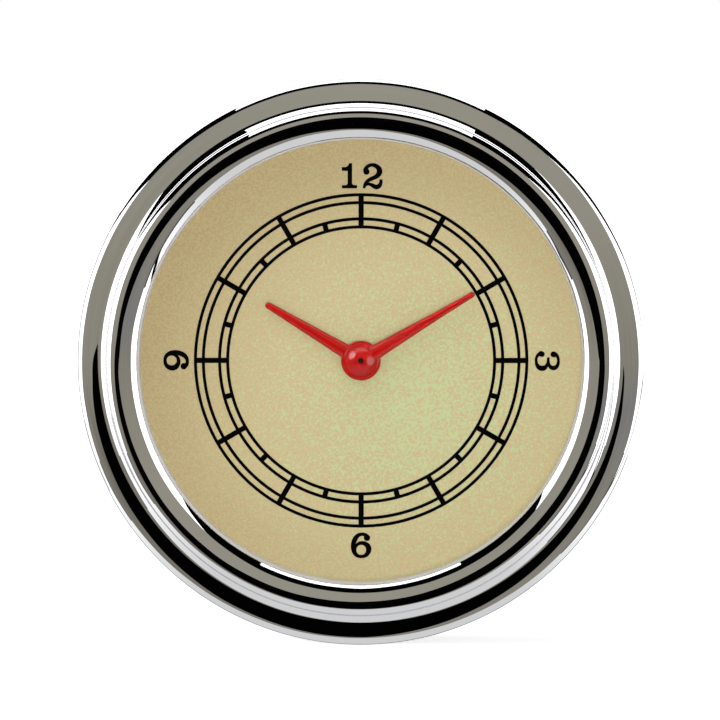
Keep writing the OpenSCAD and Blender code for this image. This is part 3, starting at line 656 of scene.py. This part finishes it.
minute_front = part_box("minute_hand")[0][1]
dome_r = 2.2 * mm
dome_lean = 50
flange_r = 1.87 * mm
flange_round = 0.1 * mm
dome_step = 0.04 * mm
hole_r, hole_round = 0.3 * mm, 0.05 * mm
hole_end = minute_front + 0.55 * mm
dome_foot_r = dome_r * math.sin(math.radians(dome_lean))
dome_foot = minute_front + dome_r * (1 - math.cos(math.radians(dome_lean)))
flange_end = dome_foot + flange_round
hole_lean = math.degrees(math.asin((hole_r + hole_round) / dome_r))
minute_hub = turned(
    "minute_hub",
    [(pipe_r, minute_base), (flange_r, minute_base), (flange_r, flange_end)]
    + round_path((flange_r - flange_round, flange_end), flange_round, 20, 90, 4)
    + [(dome_foot_r + dome_step, dome_foot)]
    + round_path((0, minute_front + dome_r), dome_r, 90 - dome_lean, 90 - hole_lean, 30)
    + [(hole_r, minute_front + hole_round), (hole_r, hole_end), (pipe_r, hole_end),
       (pipe_r, minute_base)],
    around=96,
)
minute_arm = hand_arm(
    "minute_arm",
    minute_stations,
    minute_base - arm_gap,
    minute_rise,
    minute_tip_rise,
    minute_clock,
)
finished(joined("minute_hand_painted", [minute_arm, minute_hub]), gloss_red,
         "minute_hand_group", "hand_paint", "minute_hand")

# Light ring
# A white translucent plastic ring between dial and lens, which carries the lamp's light round
# the edge of the dial. Its faint painted glow stands in for that light, though no lamp in the
# scene lights it, and keeps it pale in the shade of the bezel's lip.
glowing_plastic = moulded(
    "white_plastic", shade(206, 208, 216), shade(224, 226, 234), 0.4, depth=0.05
)
# Painted glow: a faint emission that keeps the ring pale, though no lamp lights it.
glowing_plastic.set(Emission_Color=(0.96, 0.98, 1.0), Emission_Strength=0.07)
give(glowing_plastic, "light_ring")

# Lens gasket
# A black rubber ring on the can's flange. The bezel presses the lens down on it when it is
# crimped, which keeps dust and water out.
black_rubber = moulded("black_rubber", shade(20, 20, 20), shade(34, 34, 34), 0.62)
give(black_rubber, "lens_gasket")

# Lens
# A flat disc of clear glass with ground edges, held between the gasket and the bezel's lip. Light
# goes straight through it, and only the gloss of the face that is seen from outside shows.
glass = Finish("lens_glass")
clear = glass.add("ShaderNodeBsdfTransparent")
gloss = glass.add("ShaderNodeBsdfGlossy", values={"Roughness": 0.0})
edge_on = glass.add("ShaderNodeFresnel", values={"IOR": 1.5})
smear = glass.noise(90, detail=3)
outer_face = 1 - glass.add("ShaderNodeNewGeometry", output="Backfacing")
shine = edge_on * outer_face * (0.9 + smear * 0.1)
both = glass.add("ShaderNodeMixShader", values={0: shine, 1: clear, 2: gloss})
glass.feed(glass.tree.nodes["Material Output"].inputs["Surface"], both)
glass.tree.nodes.remove(glass.shader)
give(glass, "lens")

# Bezel
# One ring of spun and polished steel, chrome plated. From the lip at the lens it rises over a
# round crest, drops down a short step, and spreads in a broad band to a round edge. Its foot is
# rolled in under it, and grips the flange of the can.
chrome = Finish("bezel_chrome")
haze = chrome.noise(40, detail=3)
pits = chrome.noise(1400, detail=2)
chrome.set(
    Base_Color=chrome.blend(haze, shade(244, 245, 247), shade(250, 250, 251)),
    Metallic=1.0,
    Roughness=0.012 + haze * 0.008 + pits * 0.006,
    Normal=chrome.bump(chrome.noise(170, detail=1), strength=1.0, distance=0.045 * mm),
)
crest_r = 25.9 * mm
sheet = 0.5 * mm
foot_arc = 0.66 * mm
seat_r = 27.5 * mm
lens_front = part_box("lens")[0][1]
# How far the front leans outwards, in degrees, and at what radius. Each stretch between two of
# these is an arc, and the fifth starts on the crest.
stations = [
    (-90, crest_r - 2.17 * mm), (-44.3, crest_r - 2.1 * mm), (-42, crest_r - 1.785 * mm),
    (-34, crest_r - 1.23 * mm), (0, crest_r), (34, crest_r + 0.39 * mm),
    (42, crest_r + 0.73 * mm), (53.5, crest_r + 0.955 * mm), (57, crest_r + 1.005 * mm),
    (73, crest_r + 1.07 * mm), (57, crest_r + 1.135 * mm), (53.5, crest_r + 1.185 * mm),
    (42, crest_r + 1.51 * mm), (34, crest_r + 1.83 * mm), (5.5, crest_r + 2.04 * mm),
    (34, bezel_r - 0.74 * mm), (42, bezel_r - 0.42 * mm), (53.5, bezel_r - 0.19 * mm),
    (57, bezel_r - 0.07 * mm), (90, bezel_r),
]
arcs = []
drop = 0
for (tilt_0, r_0), (tilt_1, r_1) in zip(stations, stations[1:]):
    a_0, a_1 = math.radians(tilt_0), math.radians(tilt_1)
    arc_r = (r_1 - r_0) / (math.sin(a_1) - math.sin(a_0))
    arcs.append((a_0, a_1, r_0, drop, arc_r))
    drop += arc_r * (math.cos(a_0) - math.cos(a_1))
crest_place = arcs[4][3]
foot_c = (bezel_r - foot_arc, -foot_arc)


def bezel_side(lower, fine, first):
    """One side of the sheet, from lip to edge, as (radius, depth).

    It lies lower under the front, turns by fine degrees at most in a step, and starts at arc first.
    """
    side = []
    for a_0, a_1, r_0, fallen, arc_r in arcs[first:]:
        steps = 1 + math.ceil(abs(a_1 - a_0) / math.radians(fine))
        for step in range(1 if side else 0, steps + 1):
            a = a_0 + (a_1 - a_0) * step / steps
            out = r_0 + arc_r * (math.sin(a) - math.sin(a_0)) - lower * math.sin(a)
            place = bezel_front - crest_place + fallen + arc_r * (math.cos(a_0) - math.cos(a))
            place += lower * math.cos(a)
            if a < 0:
                place = min(place, lens_front)
            side.append((out, place))
    return side


front = [(stations[0][1], lens_front)] + bezel_side(lower=0, fine=2, first=0)
foot = round_path(foot_c, foot_arc, start=0, end=-90, steps=10)
foot += [(seat_r, 0), (seat_r, -sheet)]
inside = round_path(foot_c, foot_arc - sheet, start=-90, end=0, steps=3)
inside += bezel_side(lower=sheet, fine=8, first=1)[::-1]
inside.append((inside[-1][0], lens_front))
ring = turned("bezel_ring", front + foot + inside + front[:1], around=360)
finished(ring, chrome, "case", "bezel_chrome", "bezel")

# Terminals
# Two brass blades, 6.3 mm wide, each pushed through a bush of red vulcanised fibre in the can's
# back. Their corners are cut for the push-on connectors, and a dimple hole locks those.
brass = metal("terminal_brass", shade(178, 142, 70), shade(216, 182, 104), 0.3, spread=0.15)
fibre = moulded("red_fibre", shade(98, 22, 16), shade(134, 34, 26), 0.55)


def softened(node, finish, body, slot, width, gap=0.002 * mm):
    """Stands for a CAD node: a merged copy of it, with its sharp edges broken."""
    bpy.ops.object.select_all(action="DESELECT")
    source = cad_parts[node]
    source.select_set(True)
    bpy.context.view_layer.objects.active = source
    bpy.ops.object.duplicate()
    piece = bpy.context.object
    piece.name = node + "_finished"
    bpy.ops.object.mode_set(mode="EDIT")
    bpy.ops.mesh.select_all(action="SELECT")
    bpy.ops.mesh.remove_doubles(threshold=gap)
    bpy.ops.mesh.dissolve_limited(angle_limit=math.radians(1))
    bpy.ops.mesh.normals_make_consistent(inside=False)
    bpy.ops.object.mode_set(mode="OBJECT")
    bpy.ops.object.modifier_add(type="BEVEL")
    edges = piece.modifiers[-1]
    edges.width = width
    edges.segments = 2
    edges.limit_method = "ANGLE"
    edges.angle_limit = math.radians(40)
    bpy.ops.object.modifier_apply(modifier=edges.name)
    bpy.ops.object.shade_smooth_by_angle(angle=math.radians(35))
    finished(piece, finish, body, slot, node)


softened("power_terminal", brass, "case", "terminal_brass", 0.08 * mm)
softened("ground_terminal", brass, "case", "terminal_brass", 0.08 * mm)
softened("terminal_bushes", fibre, "case", "red_fibre", 0.15 * mm)

# Lamp
# A black bayonet holder with two gripping ribs, locked in the can's back by its lugs. Two brass
# contacts run through it to a wedge-base bulb of frosted glass.
black_plastic = moulded("black_plastic", shade(24, 24, 25), shade(42, 42, 44), 0.42)
softened("lamp_holder", black_plastic, "lamp_group", "black_plastic", 0.15 * mm)
softened("lamp_contacts", brass, "lamp_group", "terminal_brass", 0.06 * mm)
frosted = moulded("bulb_glass", shade(214, 216, 206), shade(234, 235, 228), 0.12, depth=0.0)
give(frosted, "lamp_bulb")

# Setting knob
# A fluted knob of the same black plastic, pressed on the setting arbor behind the can. The hands
# are set by turning it.
softened("setting_knob", black_plastic, "setting_group", "black_plastic", 0.1 * mm)

# Studs
# Two zinc-plated steel studs with an M4 thread, set in the movement's rear plate. The thread is
# rolled all along the part behind the can, and the tips are chamfered.
zinc = metal("zinc_plate", shade(150, 152, 152), shade(198, 200, 202), 0.3, spread=0.2, dents=0.15)
stud_low, stud_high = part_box("mounting_studs")
stud_r, pole_r = 2 * mm, 0.0001 * mm
stud_x = stud_high[0] - stud_r
pitch = 0.7 * mm
crest, root = 1.98 * mm, 1.56 * mm
ridge = [(root, 0.08), (crest, 0.42), (crest, 0.58), (root, 0.92)]
can_back, stud_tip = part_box("case_can")[1][1], stud_high[1]
run_out, thread_start = 0.3 * mm, can_back + 0.2 * mm
tip_bevel, tip_cut = 0.25 * mm, 0.6 * mm
core = turned(
    "stud_core",
    [(pole_r, stud_low[1]), (stud_r, stud_low[1]), (stud_r, can_back), (root, can_back + run_out),
     (root, stud_tip - 0.2 * mm), (root - tip_bevel, stud_tip), (pole_r, stud_tip)],
    centre=(-stud_x, 0),
    around=48,
)
bpy.ops.object.select_all(action="DESELECT")
bpy.ops.mesh.primitive_plane_add(size=1, location=(0, 0, 0))
thread = bpy.context.object
for vertex, (radius, share) in zip(thread.data.vertices, ridge):
    vertex.co = (radius, share * pitch, 0)
bpy.ops.object.modifier_add(type="SCREW")
wound = thread.modifiers[-1]
wound.axis = "Y"
wound.screw_offset = pitch
wound.iterations = int((stud_tip - tip_cut - can_back) / pitch) - 1
wound.steps = wound.render_steps = 28
bpy.ops.object.modifier_apply(modifier=wound.name)
thread.location = (-stud_x, thread_start, 0)
bpy.ops.object.transform_apply(location=True, rotation=True, scale=True)
bpy.ops.object.mode_set(mode="EDIT")
close(thread, 40)
stud = joined("threaded_stud", [core, thread])
studs = joined("threaded_studs", [stud, copied(stud, right=2 * stud_x)])
finished(studs, zinc, "case", "zinc_plate", "mounting_studs")

# Stud nuts and washers
# Flat washers and chamfered hexagon nuts, zinc plated like the studs, hold the can to them. The
# sleeves and the clamp's washers have the same plating.
give(zinc, "stud_sleeves", "clamp_washers")
softened("stud_washers", zinc, "case", "zinc_plate", 0.08 * mm)
nut_front, nut_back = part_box("stud_nuts")[0][1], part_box("stud_nuts")[1][1]
corner_r, bore, mouth = 4.04 * mm, 2.03 * mm, 0.25 * mm
flat_r = corner_r * math.cos(math.radians(30))
cut = (corner_r - flat_r) * 0.55
nut = turned(
    "hexagon_nut",
    [(bore, nut_front + mouth), (bore + mouth, nut_front), (flat_r, nut_front),
     (corner_r, nut_front + cut), (corner_r, nut_back - cut), (flat_r, nut_back),
     (bore + mouth, nut_back), (bore, nut_back - mouth), (bore, nut_front + mouth)],
    centre=(-stud_x, 0),
    around=72,
)
bpy.ops.object.mode_set(mode="EDIT")
for flat in range(6):
    lean = math.radians(60 * flat + 30)
    bpy.ops.mesh.select_all(action="SELECT")
    bpy.ops.mesh.bisect(
        plane_co=(flat_r * math.cos(lean) - stud_x, nut_front, flat_r * math.sin(lean)),
        plane_no=(math.cos(lean), 0, math.sin(lean)),
        use_fill=True,
        clear_outer=True,
    )
close(nut, 30)
nuts = joined("hexagon_nuts", [nut, copied(nut, right=2 * stud_x)])
finished(nuts, zinc, "case", "zinc_plate", "stud_nuts")

# Clamp bracket
# A strap of zinc-plated steel bent to a U. Its two feet press on the back of the panel, and the
# studs go through two short slots in its bridge.
softened("clamp_bracket", zinc, "bracket_group", "bracket_zinc", 0.15 * mm)

# Thumb nuts
# Brass thumb nuts with a plain collar and a knurled drum, one on each stud behind the bracket.
# The knurl is straight grooves, pressed in round the drum, and the back is turned out to a dish.
nut_brass = metal("nut_brass", shade(182, 146, 74), shade(224, 190, 112), 0.26, spread=0.15)
thumb_low, thumb_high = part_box("clamp_nut_left")
thumb_x = (thumb_low[0] + thumb_high[0]) / 2
drum_r = (thumb_high[0] - thumb_low[0]) / 2
front, back = thumb_low[1], thumb_high[1]
collar_r, bore, dish_r = 3.4 * mm, 2.06 * mm, 2.86 * mm
collar_cut, mouth, drum_cut = 0.1 * mm, 0.2 * mm, 0.3 * mm
shoulder, dish = front + 0.9 * mm, back - 0.25 * mm
knurls, knurl_depth, rim = 44, 0.2 * mm, drum_r - 0.01 * mm
left_nut = turned(
    "clamp_nut_left_knurled",
    [(bore, front + mouth), (bore + mouth, front), (collar_r - collar_cut, front),
     (collar_r, front + collar_cut), (collar_r, shoulder), (drum_r - drum_cut, shoulder),
     (drum_r, shoulder + drum_cut), (drum_r, back - drum_cut), (drum_r - drum_cut, back),
     (dish_r, back), (dish_r - collar_cut, dish), (bore + mouth, dish), (bore, dish - mouth),
     (bore, front + mouth)],
    centre=(thumb_x, 0),
    around=4 * knurls,
    angle=25,
)
for vertex in left_nut.data.vertices:
    right, up = vertex.co.x - thumb_x, vertex.co.z
    column = round(math.atan2(up, right) / math.tau * 4 * knurls) % 4
    vertex.select = math.hypot(right, up) > rim and column in (0, 1)
for kind in (left_nut.data.edges, left_nut.data.polygons):
    for part in kind:
        part.select = all(left_nut.data.vertices[v].select for v in part.vertices)
bpy.ops.object.mode_set(mode="EDIT")
groove = 1 - knurl_depth / drum_r
bpy.ops.transform.resize(value=(groove, 1, groove), center_override=(thumb_x, 0, 0))
bpy.ops.object.mode_set(mode="OBJECT")
right_nut = copied(left_nut, right=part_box("clamp_nut_right")[0][0] - thumb_low[0])
right_nut.name = "clamp_nut_right_knurled"
finished(left_nut, nut_brass, "left_nut_group", "nut_brass", "clamp_nut_left")
finished(right_nut, nut_brass, "right_nut_group", "nut_brass", "clamp_nut_right")

# Floor
# A plain pale floor that the clock stands on, with its dial upright. Wherever lamps reach it, it
# is as white as the studio behind it, and under the clock it keeps the clock's soft shadow.
floor_white = 0.78
bpy.ops.object.select_all(action="DESELECT")
bpy.ops.mesh.primitive_plane_add(size=6, location=(0, 0, low[2]))
floor = bpy.context.object
floor.name = "studio_floor"
bpy.ops.object.transform_apply(location=True, rotation=True, scale=True)
pale = Finish("floor_paint")
seen, mirrored, sent_on = pale.add(
    "ShaderNodeLightPath", output=("Is Camera Ray", "Is Glossy Ray", "Is Transmission Ray")
)
pale.set(
    Base_Color=pale.blend(pale.noise(3), (0.8, 0.8, 0.8), (0.82, 0.82, 0.82)),
    Roughness=0.9,
    Emission_Color=(1, 1, 1),
    Emission_Strength=(seen | mirrored | sent_on) * floor_white,
)
floor.data.materials.append(pale.holder)
floor.visible_glossy = False
floor.visible_shadow = False

# Studio
# The clock hangs in a pale tent with a dark room in front of it. Polished metal shows the tent's
# grey cloth, its white cards, the dark gaps between these and the warm wall of the room. All is
# placed in degrees: tilt is how far a direction lies from straight ahead of the dial, and clock
# which way round it lies, from -180 to 180 with 0 at the top.
world = bpy.data.worlds.new("studio")
bpy.context.scene.world = world
tent = Finish("tent", world, "Background")
direction = tent.add("ShaderNodeTexCoord", output="Generated")
across, along, up = tent.add(
    "ShaderNodeSeparateXYZ", values={"Vector": direction}, output=("X", "Y", "Z")
)
degrees = 180 / math.pi
level = along * -math.cos(swing) - across * math.sin(swing)
aside = across * math.cos(swing) - along * math.sin(swing)
ahead = level * math.cos(lift) - up * math.sin(lift)
above = level * math.sin(lift) + up * math.cos(lift)
tilt = tent.add("ShaderNodeMath", {"operation": "ARCCOSINE"}, {0: ahead}) * degrees
clock = tent.add("ShaderNodeMath", {"operation": "ARCTAN2"}, {0: aside, 1: above}) * degrees


def edge(*stops):
    """The tilt at which something starts, all the way round: (clock, tilt) pairs, -180 to 180."""
    places = [((c + 180) / 360, t / 180) for c, t in stops]
    return tent.add("ShaderNodeValToRGB", {"stops": places}, {"Fac": (clock + 180) / 360}) * 180


def between(value, least, most):
    return (value > least) & (value < most)


# How far the dark room reaches, how far the wall behind it, and how far back the dark gaps go
room_edge = edge((-180, 65), (-150, 62), (-120, 51), (-105, 44), (-98, 39), (-91, 29), (-87, 15),
                 (-85, 9), (87, 9), (93, 18), (107, 28), (120, 36), (145, 47), (165, 57), (180, 65))
wall_edge = edge((-180, 69), (-150, 73), (-130, 78), (-118, 83), (-110, 81), (-90, 78), (-60, 76),
                 (-28, 71), (0, 71), (26, 71), (48, 76), (60, 76), (75, 76), (95, 77), (108, 80),
                 (122, 77), (135, 73), (150, 70), (180, 69))
gap_top = edge((-74, 112), (-60, 110), (-45, 108), (-28, 106), (26, 106), (45, 108), (55, 112),
               (70, 115), (98, 115))


def grey(light):
    return (light, light, light)


white, bright, black, tent_grey = grey(1.7), grey(1.2), grey(0.0006), grey(0.655)
# The tent's two sides pass softly from grey into the light that falls on them
left_fade, right_fade = (-150, -104), (150, 112)
left_cloth = tent.blend(tent.ramp(clock, *left_fade, "SMOOTHSTEP"), tent_grey, bright)
right_cloth = tent.blend(tent.ramp(clock, *right_fade, "SMOOTHSTEP"), tent_grey, bright)
scenery = tent.blend(clock > 0, left_cloth, right_cloth)
# White roof, and a white card on either side whose edges lean
cards_start, roof_half = 84, 66
left_card_low, left_card_high = -104, -54.5 - (tilt - cards_start) * 0.4
flare = (tilt > 110) * (tilt - 110) * 4
right_card_high = 49.5 + (tilt - cards_start) * 0.8 + flare
right_card_low = 115 - (tilt - cards_start) * 0.72
scenery = tent.blend(between(clock, -roof_half, roof_half), scenery, white)
scenery = tent.blend(between(clock, left_card_low, left_card_high), scenery, white)
scenery = tent.blend(between(clock, right_card_high, right_card_low), scenery, white)
# Greyer strips where the cloth is folded, far round behind the clock
panel_left, panel_right = -28, 26
in_panel = between(clock, panel_left, panel_right)
left_fold = between(clock, -118, -60) & between(tilt, 108, 113.5)
panel_fold = in_panel & between(tilt, 108, 113)
low_fold = ((clock < -118) | (clock > 112)) & (tilt > 114)
scenery = tent.blend(left_fold, scenery, grey(0.28))
scenery = tent.blend(panel_fold, scenery, grey(0.62))
scenery = tent.blend(low_fold, scenery, grey(0.3))
# Dark gaps: under the right card, on both sides of the roof's middle panel, and in front of it
card_gap = between(clock, right_card_low, right_card_low + 3.5) & (tilt < 115)
right_gap = between(clock, panel_right, right_card_high)
left_gap = between(clock, left_card_high, panel_left)
scenery = tent.blend(card_gap, scenery, black)
scenery = tent.blend((right_gap | left_gap) & (tilt < gap_top), scenery, black)
scenery = tent.blend(in_panel & (tilt < cards_start), scenery, black)
# Two short dark seams between the tent and the wall, the wall with its shelves, and the room
in_seam = tilt < wall_edge + 3
scenery = tent.blend(in_seam & between(clock, 110, 135), scenery, grey(0.02))
scenery = tent.blend(in_seam & between(clock, -125, -112), scenery, grey(0.06))
wall_tone = tent.add(
    "ShaderNodeValToRGB",
    {"stops": [(0.0, (0.20, 0.19, 0.16, 1)), (0.17, (0.13, 0.12, 0.10, 1)),
               (0.25, (0.24, 0.225, 0.18, 1)), (0.5, (0.30, 0.285, 0.23, 1)),
               (0.66, (0.28, 0.262, 0.21, 1)), (0.75, (0.20, 0.188, 0.152, 1)),
               (0.78, (0.16, 0.16, 0.165, 1)), (0.84, (0.20, 0.188, 0.155, 1)),
               (1.0, (0.20, 0.19, 0.16, 1))]},
    {"Fac": (clock + 180) / 360},
)
shelves = tent.noise(2.2, detail=3, place=direction) * 1.6 - 0.3
paler_wall = tent.blend(0.5, wall_tone, (0.34, 0.32, 0.28))
scenery = tent.blend(tilt < wall_edge, scenery, tent.blend(shelves, wall_tone, paler_wall))
scenery = tent.blend(tilt < room_edge, scenery, black)
seen, mirrored, sent_on = tent.add(
    "ShaderNodeLightPath", output=("Is Camera Ray", "Is Glossy Ray", "Is Transmission Ray")
)
plain = tent.blend(seen | sent_on, grey(0.4), grey(1))
tent.set(Color=tent.blend(mirrored, plain, scenery))

# Dark disc
# The photographer's camera under its black cloth, close in front and a little to the left. Only
# polished metal shows it.
disc_r = 28 * mm
disc_place = (-23.5 * mm, -154 * mm, 8.5 * mm)
bpy.ops.object.select_all(action="DESELECT")
bpy.ops.mesh.primitive_circle_add(
    vertices=64,
    radius=disc_r,
    fill_type="NGON",
    location=disc_place,
    rotation=(math.pi / 2, 0, 0),
)
disc = bpy.context.object
disc.name = "studio_dark_disc"
bpy.ops.object.transform_apply(location=True, rotation=True, scale=True)
cloth = Finish("black_cloth")
cloth.set(
    Base_Color=cloth.blend(cloth.noise(50), grey(0.001), grey(0.002)),
    Roughness=0.9,
    Specular_IOR_Level=0.0,
)
disc.data.materials.append(cloth.holder)
disc.visible_camera = False
disc.visible_diffuse = False
disc.visible_transmission = False
disc.visible_shadow = False

# Lamps
# Four soft lamps light the clock, and none of them is seen in the chrome: one beside the camera,
# a key below it and to the right, a top light and a fill from behind. Four dim ones are linked to
# the hands alone, and give the red paint its gloss: left, right, above, and a pale table below.


def lamp(name, place, size, power, only_on=None, tall=None):
    """A lamp turned to the dial's middle: round, or a rectangle if tall is given, in metres."""
    bpy.ops.object.light_add(type="AREA", location=place)
    light = bpy.context.object
    light.name = name
    light.data.shape = "ELLIPSE" if tall is None else "RECTANGLE"
    light.data.size = size
    light.data.size_y = tall or size
    light.data.energy = power
    towards = [-c for c in place]
    flat = math.hypot(towards[0], towards[1])
    light.rotation_euler = (math.atan2(flat, -towards[2]), 0, math.atan2(-towards[0], towards[1]))
    light.visible_camera = False
    light.visible_glossy = only_on is not None
    if only_on:
        light.light_linking.receiver_collection = only_on


lamp("lamp_front", (0.01, -0.6, 0.015), size=0.1, power=1.34)
lamp("lamp_key", (0.05, -0.6, -0.07), size=0.08, power=0.72)
lamp("lamp_top", (-0.1, -0.35, 0.6), size=0.5, power=0.8)
lamp("lamp_back", (-0.45, 0.5, 0.35), size=0.4, power=3.0)
hands = bpy.data.collections.new("hands")
for name in ("hour_hand_painted", "minute_hand_painted"):
    hands.objects.link(bpy.data.objects[name])
lamp("gloss_left", (-0.305, -0.18, 0.185), size=0.3, power=1.0, only_on=hands)
lamp("gloss_right", (0.33, -0.23, -0.012), size=0.34, power=0.6, only_on=hands)
lamp("gloss_top", (0.03, -0.16, 0.4), size=0.5, power=0.5, only_on=hands, tall=0.22)
lamp("gloss_table", (0, -0.25, -0.35), size=0.9, power=0.55, only_on=hands, tall=0.5)
